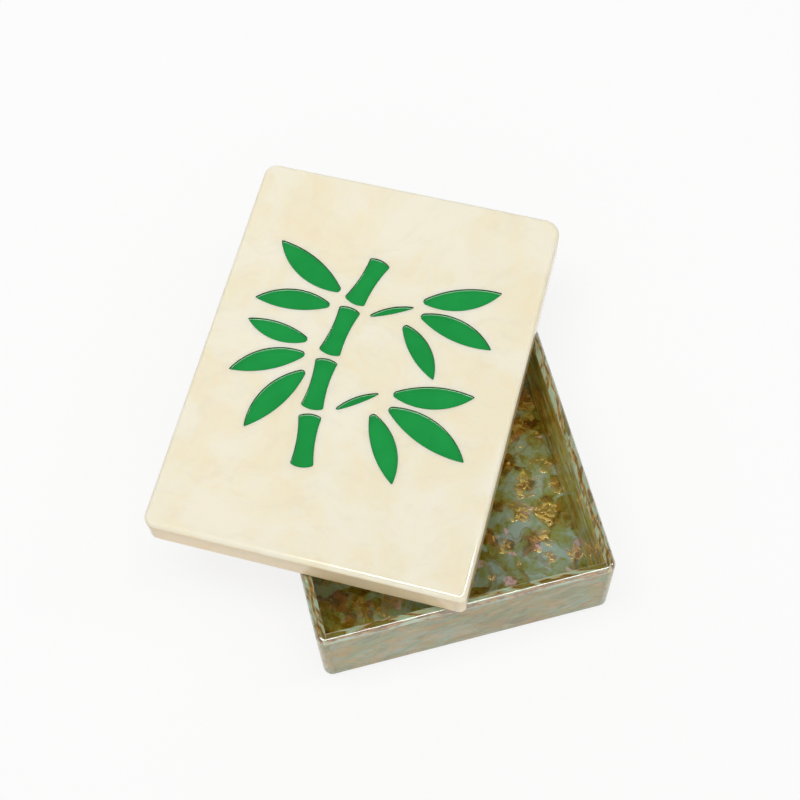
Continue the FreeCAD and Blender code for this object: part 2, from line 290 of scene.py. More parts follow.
cutColours = {
    "olive": (0.170, 0.155, 0.030),
    "rust": (0.175, 0.078, 0.004),
    "amber": (0.360, 0.170, 0.012),
    "sage": (0.300, 0.345, 0.190),
    "aqua": (0.365, 0.460, 0.335),
    "tan": (0.390, 0.310, 0.160),
}
cutForm = {
    "drawn": (0.07, 0.36, 0.36),        # along the wall, across it and up, per millimetre
    "drawnWarp": (1.3, 0.6),
    "films": (1.0, 3.0, 0.55),
    "tones": [(0.36, "olive"), (0.41, "rust"), (0.43, "tan"), (0.45, "sage"), (0.52, "aqua"),
              (0.56, "sage"), (0.585, "tan"), (0.61, "rust"), (0.66, "olive")],
    "fine": (0.16, 2.0, 2.0),
    "fineNoise": (1.0, 2.0),
    "fineShade": (0.7, 0.65),
    "threads": (0.60, 0.68),
    "threadShare": 0.6,
    "row": 7.0,                         # where in its noise the ribbon's course is read
    "swingNoise": (0.055, 2.0),
    "torn": (0.30, 1.1, 1.1),
    "tornNoise": (1.0, 3.0, 0.6),
    "bank": (0.9, 0.5),                 # millimetres from the ribbon's middle
    "bankTorn": (0.40, 0.56),
    "bankShare": 0.6,
    "widthNoise": (0.14, 2.0),
    "ribbonWidth": (2.2, -0.75),
    "ribbonRim": (0.10, -0.08),
    "ribbonTorn": (0.72, 0.56),
    "ribbonTones": (0.44, 0.54),
    "ribbonShare": 0.9,
}


def makeCutGroup():
    tree, given, out = newGroup(
        "cutLayers",
        [("Along", "Float", 0.0), ("Inward", "Float", 0.0), ("Up", "Float", 0.0), ("Lean", "Float", 0.1),
         ("Ribbon Place", "Float", 1.5), ("Ribbon Swing", "Float", 1.0)],
        [("Color", "Color")],
    )
    c, form = cutColours, cutForm
    leant = calc(tree, "MULTIPLY_ADD", given["Along"], given["Lean"], given["Inward"])
    place = joined(tree, given["Along"], leant, given["Up"])
    drawn = warped(tree, vectorCalc(tree, "MULTIPLY", place, form["drawn"]), *form["drawnWarp"])
    colour = ramp(tree, noise(tree, drawn, *form["films"])["Fac"], form["tones"], c, smooth=False)
    fine = noise(tree, vectorCalc(tree, "MULTIPLY", place, form["fine"]), *form["fineNoise"])["Fac"]
    shade = calc(tree, "MULTIPLY_ADD", fine, *form["fineShade"])
    colour = mixColour(tree, 1.0, colour, shade, mode="MULTIPLY")
    threads = calc(tree, "MULTIPLY", fade(tree, fine, *form["threads"]), form["threadShare"])
    colour = mixColour(tree, threads, colour, c["olive"])

    along = joined(tree, given["Along"], form["row"])
    swing = calc(tree, "SUBTRACT", noise(tree, along, *form["swingNoise"])["Fac"], 0.5)
    middle = calc(tree, "MULTIPLY_ADD", swing, given["Ribbon Swing"], given["Ribbon Place"])
    away = calc(tree, "ABSOLUTE", calc(tree, "SUBTRACT", given["Inward"], middle))
    torn = noise(tree, vectorCalc(tree, "MULTIPLY", place, form["torn"]), *form["tornNoise"])["Fac"]
    bank = calc(tree, "MULTIPLY", fade(tree, away, *form["bank"]), fade(tree, torn, *form["bankTorn"]))
    colour = mixColour(tree, calc(tree, "MULTIPLY", bank, form["bankShare"]), colour, c["aqua"])
    width = calc(tree, "MULTIPLY_ADD", noise(tree, along, *form["widthNoise"])["Fac"], *form["ribbonWidth"])
    ribbon = fade(tree, calc(tree, "SUBTRACT", away, width), *form["ribbonRim"])
    ribbon = calc(tree, "MULTIPLY", ribbon, fade(tree, torn, *form["ribbonTorn"]))
    ribbonTone = mixColour(tree, fade(tree, torn, *form["ribbonTones"]), c["rust"], c["amber"])
    colour = mixColour(tree, calc(tree, "MULTIPLY", ribbon, form["ribbonShare"]), colour, ribbonTone)
    tree.links.new(colour, out["Color"])
    return tree


# Pearly cream acrylic: milky clouds with thin drawn-out wisps of peach and grey

creamColours = {
    "cream": (0.872, 0.802, 0.612),
    "milk": (0.885, 0.835, 0.690),
    "peach": (0.878, 0.768, 0.548),
    "smoke": (0.760, 0.705, 0.540),
    # painted shade for the lid's sides
    "edge": (1.000, 0.870, 0.720),
}
creamForm = {
    "drift": (0.022, 45.0),
    "fold": (0.12, 7.0),
    "foldCrossed": (0.10, 9.0),
    "cloud": (0.045, 3.0, 0.5),
    "wisps": (1.0, 0.30, 1.0),          # peach is drawn out one way, smoke the other
    "wispNoise": (0.26, 4.0, 0.6),
    "smokes": (0.30, 1.0, 1.0),
    "smokeNoise": (0.22, 4.0, 0.6),
    "grainNoise": (0.8, 3.0, 0.6),
    "grain": 0.2,
    "tones": [(0.36, "cream"), (0.62, "milk")],
    "peach": (0.46, 0.66),
    "peachCloud": (0.62, 0.40),
    "smoke": (0.50, 0.68),
}


def makeCreamGroup():
    tree, given, out = newGroup(
        "creamPearl",
        [("Vector", "Vector", None), ("Peach", "Float", 0.5), ("Smoke", "Float", 0.4)],
        [("Color", "Color")],
    )
    c, form = creamColours, creamForm
    drift = warped(tree, given["Vector"], *form["drift"])
    folded = warped(tree, drift, *form["fold"])
    crossed = warped(tree, drift, *form["foldCrossed"])
    cloud = noise(tree, folded, *form["cloud"])["Fac"]
    wisps = noise(tree, vectorCalc(tree, "MULTIPLY", folded, form["wisps"]), *form["wispNoise"])["Fac"]
    smokes = noise(tree, vectorCalc(tree, "MULTIPLY", crossed, form["smokes"]), *form["smokeNoise"])["Fac"]
    grain = noise(tree, folded, *form["grainNoise"])["Fac"]
    milky = calc(tree, "SUBTRACT", cloud, form["grain"] / 2)
    milky = calc(tree, "MULTIPLY_ADD", grain, form["grain"], milky)
    colour = ramp(tree, milky, form["tones"], c)
    warm = calc(tree, "MULTIPLY", fade(tree, wisps, *form["peach"]), fade(tree, cloud, *form["peachCloud"]))
    colour = mixColour(tree, calc(tree, "MULTIPLY", warm, given["Peach"]), colour, c["peach"])
    grey = calc(tree, "MULTIPLY", fade(tree, smokes, *form["smoke"]), given["Smoke"])
    colour = mixColour(tree, grey, colour, c["smoke"])
    tree.links.new(colour, out["Color"])
    return tree


# Fine rubbing marks that break up the gloss, shared by every acrylic

handlingForm = {
    "smearNoise": (0.06, 4.0, 0.65),
    "smears": (0.45, 0.75),
    "speckNoise": (1.6, 2.0),
    "specks": (0.66, 0.80),
}


def makeHandlingGroup():
    tree, given, out = newGroup(
        "handlingMarks",
        [("Vector", "Vector", None), ("Gloss", "Float", 0.1), ("Marks", "Float", 0.08)],
        [("Roughness", "Float")],
    )
    form = handlingForm
    smears = fade(tree, noise(tree, given["Vector"], *form["smearNoise"])["Fac"], *form["smears"])
    specks = fade(tree, noise(tree, given["Vector"], *form["speckNoise"])["Fac"], *form["specks"])
    marks = calc(tree, "MULTIPLY", calc(tree, "ADD", smears, specks), given["Marks"])
    tree.links.new(calc(tree, "ADD", marks, given["Gloss"]), out["Roughness"])
    return tree


groups = {
    "flakes": makeFlakeGroup(),
    "cut": makeCutGroup(),
    "cream": makeCreamGroup(),
    "handling": makeHandlingGroup(),
}
print("shader groups made:", len(groups))


def newMaterial(name):
    material = bpy.data.materials.new(name)
    material.use_nodes = True
    tree = material.node_tree
    shader = tree.nodes["Principled BSDF"]
    return material, tree, shader


def millimetres(tree, turn=(0, 0, 0), scale=(1, 1, 1), shift=(0, 0, 0)):
    # Object coordinates in millimetres, stretched and turned for one piece's sheet
    place = addNode(tree, "ShaderNodeTexCoord").outputs["Object"]
    node = addNode(tree, "ShaderNodeMapping", vector_type="POINT")
    feed(tree, node, Vector=place, Location=shift, Rotation=turn, Scale=[share / mm for share in scale])
    return node.outputs["Vector"]


def useGroup(tree, name, **inputs):
    node = addNode(tree, "ShaderNodeGroup", node_tree=groups[name])
    for label, value in inputs.items():
        feed(tree, node, **{label.replace("_", " "): value})
    return node.outputs


# the sheets of the tray differ in the run of their layers: stretched along the sheet, thin through it
jadeSheets = {
    "side": {"layers": (3.4, 0.36, 1.0), "turn": (6, 0, 0), "shift": (3, 8, 5), "size": 7.5,
             "brown": -0.05, "veins": 0.6, "gold": 0.6, "pink": 0.2,
             "lean": 0.38, "ribbon": (1.7, 5.0), "glow": 0.006, "sheen": 0.3},
    "end": {"layers": (0.45, 3.4, 0.8), "turn": (0, -9, 0), "shift": (22, 2, 11), "size": 7.5,
            "brown": 0.0, "veins": 0.9, "gold": 0.3, "pink": 0.3,
            "lean": 0.10, "ribbon": (0.60, 1.8), "glow": 0.006, "sheen": 0.3},
    "floor": {"layers": (1.0, 1.0, 4.0), "turn": (0, 0, 25), "shift": (5, 30, 0), "size": 9.0,
              "brown": 0.07, "veins": 0.4, "gold": 0.35, "pink": 0.6,
              "lean": 0.10, "ribbon": (1.5, 1.0), "glow": 0.004, "sheen": 0.5},
}
# on the floor, the leaf, the pearl and the rust lie in places: millimetres along X and Y, and reach
floorSpots = {
    "gold": [(32, -19, 4.6), (27.6, -26, 3.6), (36.5, -29, 4.0), (42, -2, 3.4),
             (37, 2, 2.4), (38.5, -10, 2.0), (33.5, -44, 1.8), (42, -45, 3.2),
             (42, 11, 3.0), (-41, -41, 2.2), (-31, -44, 3.2), (-22, -46, 2.4)],
    "pink": [(18, -48.5, 2.1), (31, -40, 1.1), (22, -31.5, 1.1), (22, -40, 0.9),
             (42, -3, 0.9), (-19, -47, 2.0)],
    # the rust spots that run along the lid's right edge are partly painted shade of the lid, in the rust's
    # colours
    "rust": [(27, -9, 4.2), (20, -23, 3.2), (16, -32, 3.0), (34, 4, 4.5), (41, 12, 4.0),
             (21, -37, 1.8), (30, -38, 2.2), (-37, -41, 3.2), (-44, -51, 3.4)],
}
spotRim = {"warp": (0.32, 6.0), "out": 1.3, "full": 0.5}        # out and full are shares of the reach
# the floor's films are painted browner to the left, a painted shade under the lid, and turn paler towards
# the front
paintedLidShade = {"from": 28, "to": -12, "by": 0.10}
paler = {"from": -4, "to": -34, "by": -0.13}
# seen from outside, the film lies deeper and shows through a soft skin, up to the polished top edge
skin = {
    "depth": (1.0, 0.3),            # millimetres in from the outer face
    "top": (1.1, 2.0),              # millimetres down from the tray's top
    "share": 0.72,
    "lean": -0.35,
    "streaks": (0.080, 0.08, 0.150),
    "drift": (1.1, 0.9),
    "haze": (1.0, 3.0, 0.50),
    "tones": [(0.42, "sage"), (0.47, "mist"), (0.53, "tan"), (0.58, "blush")],
    "sage": (0.168, 0.174, 0.048),
    "mist": (0.222, 0.284, 0.142),
    "tan": (0.262, 0.200, 0.056),
    "blush": (0.308, 0.220, 0.074),
    "amber": (0.410, 0.215, 0.030),
    "amberStep": (9, 4, 2),
    "amberNoise": (1.7, 3.0, 0.5),
    "amberFrom": (0.53, 0.62),
    "amberShare": 0.7,
}
# painted fill light: the inner faces are painted brighter where the lamps don't reach, in place of light
# through the resin, so that they have no dead shade
paintedFillLight = {
    "back": (-50, 20),
    "left": (0, -28),
    "wall": (2.6, 3.1),
    "paintedLift": (1.60, 1.48, 1.18),
}
# the cut shows on the top's flat and on its outer bevel
cutEdge = {
    "flat": (0.25, 0.10),           # millimetres down
    "bevel": (2.6, 2.2),            # millimetres in
}
# the arrises shine more than the faces: millimetres in, and down
polish = {
    "outer": (1.42, 1.32),
    "outerDown": (1.5, 1.2),
    "inner": (2.94, 2.99),
    "innerDown": (0.4, 0.3),
    "ior": 2.6,
    "rough": 0.03,
}
jadeResin = {
    "metal": 0.4,                   # how metallic the leaf's ridges are
    "subsurface": 0.6,
    "radius": (1.0, 0.9, 0.6),
    "bump": 0.5,
    "bumpDistance": 0.0004,
    "gloss": 0.04,
    "marks": 0.05,
}


def fromOutline(tree, inward, radius):
    # depth inside a rounded outline, from the depths inside its two straight sides
    short = [calc(tree, "MAXIMUM", calc(tree, "SUBTRACT", radius, part), 0.0) for part in inward]
    squares = [calc(tree, "POWER", part, 2.0) for part in short]
    return calc(tree, "SUBTRACT", radius, calc(tree, "SQRT", calc(tree, "ADD", *squares)))


def spotMask(tree, place, spots):
    # 1 within any of the spots, with a soft ragged rim
    level = vectorCalc(tree, "MULTIPLY", warped(tree, place, *spotRim["warp"]), (1, 1, 0))
    mask = 0.0
    for x, y, reach in spots:
        away = addNode(tree, "ShaderNodeVectorMath", operation="DISTANCE")
        feed(tree, away, i0=level, i1=(x, y, 0))
        near = fade(tree, away.outputs["Value"], reach * spotRim["out"], reach * spotRim["full"])
        mask = calc(tree, "MAXIMUM", mask, near)
    return mask


def makeSkin(tree, place, outside):
    # soft slanting streaks that run on round the corners
    girth = calc(tree, "ADD", place["X"], place["Y"])
    leant = calc(tree, "MULTIPLY_ADD", girth, skin["lean"], place["Z"])
    spread = vectorCalc(tree, "MULTIPLY", joined(tree, girth, outside, leant), skin["streaks"])
    drift = warped(tree, spread, *skin["drift"])
    haze = ramp(tree, noise(tree, drift, *skin["haze"])["Fac"], skin["tones"], skin)
    amber = noise(tree, vectorCalc(tree, "ADD", drift, skin["amberStep"]), *skin["amberNoise"])["Fac"]
    amber = calc(tree, "MULTIPLY", fade(tree, amber, *skin["amberFrom"]), skin["amberShare"])
    return mixColour(tree, amber, haze, skin["amber"])


def makeJade(kind):
    look = jadeSheets[kind]
    material, tree, shader = newMaterial("jadeAcrylic" + kind.capitalize())
    flat = millimetres(tree)
    place = axes(tree, flat)
    inward = {axis: calc(tree, "SUBTRACT", reach / mm, calc(tree, "ABSOLUTE", place[axis]))
              for axis, reach in zip("XY", trayHigh)}
    down = calc(tree, "SUBTRACT", trayHigh.z / mm, place["Z"])
    across, along = ("Y", "X") if kind == "end" else ("X", "Y")
    turn = [math.radians(angle) for angle in look["turn"]]
    sheet = millimetres(tree, turn=turn, scale=look["layers"], shift=look["shift"])
    varied = {"Brown": look["brown"], "Gold_Amount": look["gold"], "Pink_Amount": look["pink"]}
    if kind == "floor":
        brown = look["brown"]
        # painted shade under the lid: browner to the left; paler towards the front
        for axis, change in (("X", paintedLidShade), ("Y", paler)):
            turning = fade(tree, place[axis], change["from"], change["to"])
            brown = calc(tree, "MULTIPLY_ADD", turning, change["by"], brown)
        varied["Brown"] = brown
        varied["Gold_Amount"] = calc(tree, "ADD", spotMask(tree, flat, floorSpots["gold"]), look["gold"])
        varied["Pink_Here"] = spotMask(tree, flat, floorSpots["pink"])
        varied["Rust_Here"] = spotMask(tree, flat, floorSpots["rust"])
    flakes = useGroup(tree, "flakes", Vector=sheet, Flake_Size=look["size"], Veins=look["veins"], **varied)

    # painted fill light: inner faces painted brighter where the lamps don't reach
    if kind == "floor":
        within = calc(tree, "MAXIMUM", fade(tree, place["Y"], *paintedFillLight["back"]),
                      fade(tree, place["X"], *paintedFillLight["left"]))
    else:
        within = fade(tree, inward[across], *paintedFillLight["wall"])
    paintedFillColour = mixColour(tree, within, (1, 1, 1), paintedFillLight["paintedLift"])
    body = mixColour(tree, 1.0, flakes["Color"], paintedFillColour, mode="MULTIPLY")

    below = fade(tree, down, *skin["top"])
    outside = fromOutline(tree, inward.values(), tray["cornerRadius"] / mm)
    veil = calc(tree, "MULTIPLY", fade(tree, outside, *skin["depth"]), below)
    veil = calc(tree, "MULTIPLY", veil, skin["share"])
    colour = mixColour(tree, veil, body, makeSkin(tree, place, outside))

    # the polished top edge shows the sheet cut across
    cut = useGroup(tree, "cut", Along=place[along], Inward=inward[across], Up=place["Z"], Lean=look["lean"],
                   Ribbon_Place=look["ribbon"][0], Ribbon_Swing=look["ribbon"][1])
    bevel = calc(tree, "MULTIPLY", calc(tree, "SUBTRACT", 1.0, below),
                 fade(tree, inward[across], *cutEdge["bevel"]))
    top = calc(tree, "MAXIMUM", bevel, fade(tree, down, *cutEdge["flat"]))
    colour = mixColour(tree, top, colour, cut["Color"])

    outer = calc(tree, "MULTIPLY", fade(tree, outside, *polish["outer"]),
                 fade(tree, down, *polish["outerDown"]))
    inner = calc(tree, "MULTIPLY", fade(tree, inward[across], *polish["inner"]),
                 fade(tree, down, *polish["innerDown"]))
    metal = calc(tree, "MULTIPLY", flakes["Gold"], calc(tree, "SUBTRACT", 1.0, top))
    metal = calc(tree, "MULTIPLY", metal, jadeResin["metal"])
    bump = addNode(tree, "ShaderNodeBump")
    feed(tree, bump, Strength=jadeResin["bump"], Distance=jadeResin["bumpDistance"],
         Height=calc(tree, "MULTIPLY", flakes["Height"], metal))
    marks = useGroup(tree, "handling", Vector=flat, Gloss=jadeResin["gloss"], Marks=jadeResin["marks"])
    feed(tree, shader, Metallic=metal, Normal=bump.outputs["Normal"], Roughness=marks["Roughness"])
    feed(tree, shader, **{"Base Color": colour, "IOR": acrylicIor,
                          "Subsurface Weight": jadeResin["subsurface"],
                          "Subsurface Radius": jadeResin["radius"], "Subsurface Scale": look["glow"],
                          "Coat Weight": calc(tree, "MAXIMUM", outer, inner), "Coat IOR": polish["ior"],
                          "Coat Roughness": polish["rough"], "Specular IOR Level": look["sheen"]})
    return material


creamLook = {
    "shift": (12, 31, 4),
    "peach": 0.55,
    "smoke": 0.20,
    "face": (1.8, 0.6),             # millimetres down: where the sheet's edge turns into its face
    "arris": (0.08, 0.20),          # millimetres less than the arris
    "handled": {"X": (-20, 48), "Y": (-46, -58)},       # where the arris is polished by use
    "dull": 0.45,                   # and how dull it is elsewhere
    "subsurface": 0.4,
    "radius": (1.0, 0.85, 0.55),
    "glow": 0.003,
    "coatIor": 2.05,
    "coatRough": 0.04,
    "sheen": 0.18,
    "gloss": 0.045,
    "marks": 0.05,
}


def makeCream(name, turn):
    # painted shade: the sheet's sides are tinted deeper and warmer than its face
    look = creamLook
    material, tree, shader = newMaterial(name)
    sheet = millimetres(tree, turn=(0, 0, math.radians(turn)), shift=look["shift"])
    pearl = useGroup(tree, "cream", Vector=sheet, Peach=look["peach"], Smoke=look["smoke"])
    local = axes(tree, lidLocal(tree))
    down = calc(tree, "SUBTRACT", (trayHigh.z + lid["depth"]) / mm, axes(tree, millimetres(tree))["Z"])
    face = fade(tree, down, *look["face"])
    inward = [calc(tree, "SUBTRACT", lid[size] / mm / 2, calc(tree, "ABSOLUTE", local[axis]))
              for axis, size in (("X", "width"), ("Y", "length"))]
    rim = fromOutline(tree, inward, lid["corners"][(-1, -1)] / mm)
    arris = fade(tree, rim, *[lid["arris"] / mm - less for less in look["arris"]])
    arris = calc(tree, "MULTIPLY", arris, face)
    handled = calc(tree, "MULTIPLY", *[fade(tree, local[axis], *look["handled"][axis]) for axis in "XY"])
    gleam = calc(tree, "MULTIPLY", arris, handled)
    dull = calc(tree, "MULTIPLY", calc(tree, "SUBTRACT", arris, gleam), look["dull"])
    # painted shade: below the face, the sides take the deeper, warmer edge tint
    tint = mixColour(tree, face, creamColours["edge"], (1, 1, 1))
    colour = mixColour(tree, 1.0, pearl["Color"], tint, mode="MULTIPLY")
    gloss = calc(tree, "ADD", dull, look["gloss"])
    marks = useGroup(tree, "handling", Vector=sheet, Gloss=gloss, Marks=look["marks"])
    feed(tree, shader, **{"Base Color": colour, "IOR": acrylicIor, "Subsurface Weight": look["subsurface"],
                          "Subsurface Radius": look["radius"], "Subsurface Scale": look["glow"],
                          "Coat Weight": gleam, "Coat IOR": look["coatIor"],
                          "Coat Roughness": look["coatRough"], "Specular IOR Level": look["sheen"],
                          "Roughness": marks["Roughness"]})
    return material


greenLook = {
    "green": (0.0085, 0.285, 0.052),
    "bright": (0.0105, 0.318, 0.060),
    # painted shade of the pocket's wall, where the enamel climbs
    "wall": (0.0010, 0.060, 0.004),
    "tint": (0.12, 3.0),
    "tones": [(0.3, "green"), (0.7, "bright")],
    "wallUp": (0.08, 0.20),         # millimetres above the enamel's flat
    "climbUp": (0.005, 0.02),
    "climbEnd": (0.20, 0.10),
    "coatIor": 2.0,
    "coatRough": 0.03,
    "sheen": 0.3,
    "gloss": 0.06,
    "marks": 0.05,
}


def makeGreen():
    look = greenLook
    material, tree, shader = newMaterial("greenInlay")
    place = millimetres(tree)
    colour = ramp(tree, noise(tree, place, *look["tint"])["Fac"], look["tones"], look)
    sunk = sum(down for inward, down in meniscus["rings"])
    flatAt = (trayHigh.z + lid["depth"] - meniscus["below"]) / mm - sunk
    above = calc(tree, "SUBTRACT", axes(tree, place)["Z"], flatAt)
    wall = fade(tree, above, *look["wallUp"])           # painted shade: the enamel is painted dark where it climbs the pocket's wall
    colour = mixColour(tree, wall, colour, look["wall"])
    climb = calc(tree, "MULTIPLY", fade(tree, above, *look["climbUp"]), fade(tree, above, *look["climbEnd"]))
    marks = useGroup(tree, "handling", Vector=place, Gloss=look["gloss"], Marks=look["marks"])
    feed(tree, shader, **{"Base Color": colour, "IOR": acrylicIor, "Specular IOR Level": look["sheen"],
                          "Coat Weight": climb, "Coat IOR": look["coatIor"],
                          "Coat Roughness": look["coatRough"], "Roughness": marks["Roughness"]})
    return material


# Meshes: shared steps

def block(low, high):
    mesh = bmesh.new()
    bmesh.ops.create_cube(mesh, size=1.0)
    size = Vector(high) - Vector(low)
    bmesh.ops.scale(mesh, vec=size, verts=mesh.verts)
    bmesh.ops.translate(mesh, vec=(Vector(high) + Vector(low)) / 2, verts=mesh.verts)
    return mesh


def roundEdges(mesh, chosen, width, segments):
    edges = [edge for edge in mesh.edges if chosen(edge)]
    bmesh.ops.bevel(mesh, geom=edges, offset=width, offset_type="OFFSET", segments=segments, profile=0.5,
                    affect="EDGES", material=-1, clamp_overlap=True)


def upright(edge):
    a, b = (v.co for v in edge.verts)
    return abs(a.z - b.z) > tiny and (a - b).to_2d().length < tiny


def onLevel(z):
    return lambda edge: all(abs(v.co.z - z) < tiny for v in edge.verts)


hardAngle = math.radians(60)


def hardEdge(where=lambda edge: True):
    return lambda edge: edge.is_manifold and edge.calc_face_angle(0) > hardAngle and where(edge)


def cutToBox(mesh, low, high):
    # keeps what lies inside the box, closing each cut
    for axis in range(3):
        for place, side in ((low[axis], -1), (high[axis], 1)):
            reach = [side * vert.co[axis] for vert in mesh.verts]
            if max(reach) < side * place + tiny / 10:
                continue
            away = Vector([side if n == axis else 0 for n in range(3)])
            spot = Vector([place if n == axis else 0 for n in range(3)])
            everything = list(mesh.verts) + list(mesh.edges) + list(mesh.faces)
            cut = bmesh.ops.bisect_plane(mesh, geom=everything, plane_co=spot, plane_no=away,
                                         clear_outer=True)
            rim = [item for item in cut["geom_cut"] if isinstance(item, bmesh.types.BMEdge)]
            bmesh.ops.edgeloop_fill(mesh, edges=rim)


def toObject(mesh, name):
    data = bpy.data.meshes.new(name)
    mesh.to_mesh(data)
    mesh.free()
    made = bpy.data.objects.new(name, data)
    bpy.context.collection.objects.link(made)
    return made


def finishPiece(name, mesh, material, body, nodes, place=None, smoothTo=35):
    # place carries the form into the scene, and edges of up to smoothTo degrees are shaded smooth
    if place is not None:
        bmesh.ops.transform(mesh, matrix=place, verts=mesh.verts)
    bmesh.ops.recalc_face_normals(mesh, faces=mesh.faces)
    piece = toObject(mesh, name)
    piece.data.shade_smooth()
    piece.data.set_sharp_from_angle(angle=math.radians(smoothTo))
    piece.data.materials.append(material)
    weighted = piece.modifiers.new("evenNormals", "WEIGHTED_NORMAL")
    weighted.weight = 100
    weighted.keep_sharp = True
    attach(piece, body)
    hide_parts(*nodes)
    return piece


# Tray

tray = {
    "cornerRadius": 3.1 * mm,
    "topArris": 1.5 * mm,
    "bottomArris": 2.2 * mm,
    "innerArris": 0.30 * mm,
    "innerFrom": 3.1 * mm,      # the inner arrises lie further in than this
    "innerLength": 20 * mm,     # and are longer than this
    "innerSteps": 3,
    "seam": 0.03 * mm,
    "steps": 8,
}
trayNodes = ["base_floor", "base_wall_left", "base_wall_right", "base_wall_front", "base_wall_back"]
trayBox = [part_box(node) for node in trayNodes]
trayLow = Vector([min(low[n] for low, high in trayBox) for n in range(3)])
trayHigh = Vector([max(high[n] for low, high in trayBox) for n in range(3)])


def trayEnvelope():
    mesh = block(trayLow, trayHigh)
    roundEdges(mesh, upright, tray["cornerRadius"], tray["steps"])
    roundEdges(mesh, hardEdge(onLevel(trayHigh.z)), tray["topArris"], tray["steps"])
    roundEdges(mesh, hardEdge(onLevel(trayLow.z)), tray["bottomArris"], tray["steps"])
    return mesh


def makeTrayPiece(node, material):
    low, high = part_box(node)
    mesh = trayEnvelope()
    cutToBox(mesh, low, high)

    def innerTop(edge):
        middle = (edge.verts[0].co + edge.verts[1].co) / 2
        outside = min(trayHigh.x - abs(middle.x), trayHigh.y - abs(middle.y))
        within = outside > tray["innerFrom"] and edge.calc_length() > tray["innerLength"]
        return within and onLevel(trayHigh.z)(edge)

    roundEdges(mesh, hardEdge(innerTop), tray["innerArris"], tray["innerSteps"])
    roundEdges(mesh, hardEdge(), tray["seam"], 1)
    return finishPiece(node.replace("base_", "tray_"), mesh, material, "base", [node])


jade = {kind: makeJade(kind) for kind in jadeSheets}
for node in trayNodes:
    kind = "floor" if "floor" in node else "side" if node.endswith(("left", "right")) else "end"
    makeTrayPiece(node, jade[kind])
print("tray made")


# Lid: one outer form, cut into the panel and the four rim strips

lid = {
    "seat": (-13.13 * mm, 18.22 * mm),
    "turn": math.radians(-29.27),
    "width": 101.6 * mm,
    "length": 134.6 * mm,
    "depth": 11.4 * mm,
    "sheet": 3.2 * mm,
    "corners": {                    # hand-sanded, by the side's signs along X and Y
        (1, -1): 2.2 * mm,
        (1, 1): 5.6 * mm,
        (-1, 1): 4.0 * mm,
        (-1, -1): 3.8 * mm,
    },
    "arris": 1.7 * mm,
    "steps": 10,
    "lowerArris": 0.9 * mm,
    "lowerSteps": 4,
    "innerArris": 0.25 * mm,
    "innerSteps": 3,
    "pocketDepth": 1.6 * mm,
    "pocketArris": 0.08 * mm,
    "pocketSteps": 2,
    "spare": 1 * mm,                # how far a cut reaches past the form
}
lidSeat = Vector((*lid["seat"], trayHigh.z))
lidPlace = Matrix.Translation(lidSeat) @ Matrix.Rotation(lid["turn"], 4, "Z")
halfWidth, halfLength = lid["width"] / 2, lid["length"] / 2


def lidLocal(tree):
    # millimetres in the lid's own frame
    shift = Matrix.Rotation(-lid["turn"], 3, "Z") @ -lidSeat / mm
    return millimetres(tree, turn=(0, 0, -lid["turn"]), shift=tuple(shift))


def lidEnvelope():
    mesh = block((-halfWidth, -halfLength, 0), (halfWidth, halfLength, lid["depth"]))
    for (sideX, sideY), radius in lid["corners"].items():
        corner = Vector((sideX * halfWidth, sideY * halfLength))

        def atCorner(edge):
            return upright(edge) and (edge.verts[0].co.to_2d() - corner).length < tiny

        roundEdges(mesh, atCorner, radius, lid["steps"])
    roundEdges(mesh, hardEdge(onLevel(lid["depth"])), lid["arris"], lid["steps"])
    roundEdges(mesh, hardEdge(onLevel(0)), lid["lowerArris"], lid["lowerSteps"])
    return mesh


def makeRimStrip(node, low, high):
    mesh = lidEnvelope()
    cutToBox(mesh, low, high)
    roundEdges(mesh, hardEdge(onLevel(0)), lid["innerArris"], lid["innerSteps"])
    name = node.replace("lid_", "cream_")
    return finishPiece(name, mesh, creamRim, "lid", [node], lidPlace)


def strokeOutline(node):
    # the flat top of a CAD inlay piece as one face, in the lid's own frame
    mesh = bmesh.new()
    mesh.from_mesh(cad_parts[node].data)
    bmesh.ops.transform(mesh, matrix=lidPlace.inverted(), verts=mesh.verts)
    bmesh.ops.remove_doubles(mesh, verts=mesh.verts, dist=tiny)
    top = max(v.co.z for v in mesh.verts)
    rest = [face for face in mesh.faces if any(v.co.z < top - tiny for v in face.verts)]
    bmesh.ops.delete(mesh, geom=rest, context="FACES")
    bmesh.ops.dissolve_faces(mesh, faces=mesh.faces)
    return mesh


meniscus = {
    # the enamel climbs the pocket's wall: by how many millimetres each ring goes in, and down
    "rings": [(0.03, 0.52), (0.06, 0.12), (0.10, 0.06), (0.14, 0.03)],
    "below": 0.07 * mm,             # its top edge, under the lid's face
    "smoothTo": 50,
}
inlayNodes = [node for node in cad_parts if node.split("_")[0] in ("cane", "leaf", "twig")]


def raisePrism(mesh, low, high):
    # turns flat outlines into closed prisms between two levels
    for vert in mesh.verts:
        vert.co.z = low
    raised = bmesh.ops.extrude_face_region(mesh, geom=mesh.faces[:], use_keep_orig=True)
    verts = [item for item in raised["geom"] if isinstance(item, bmesh.types.BMVert)]
    bmesh.ops.translate(mesh, vec=(0, 0, high - low), verts=verts)
    bmesh.ops.recalc_face_normals(mesh, faces=mesh.faces)
    return mesh


def makeInlayPiece(node):
    top = lid["depth"] - meniscus["below"]
    mesh = raisePrism(strokeOutline(node), lid["depth"] - lid["pocketDepth"], top)
    face = max(mesh.faces, key=lambda item: item.calc_center_median().z)
    for inward, down in meniscus["rings"]:
        bmesh.ops.inset_region(mesh, faces=[face], thickness=inward * mm, depth=-down * mm,
                               use_boundary=True, use_even_offset=True)
    return finishPiece("green_" + node, mesh, greenInlay, "lid", [node], lidPlace,
                       meniscus["smoothTo"])


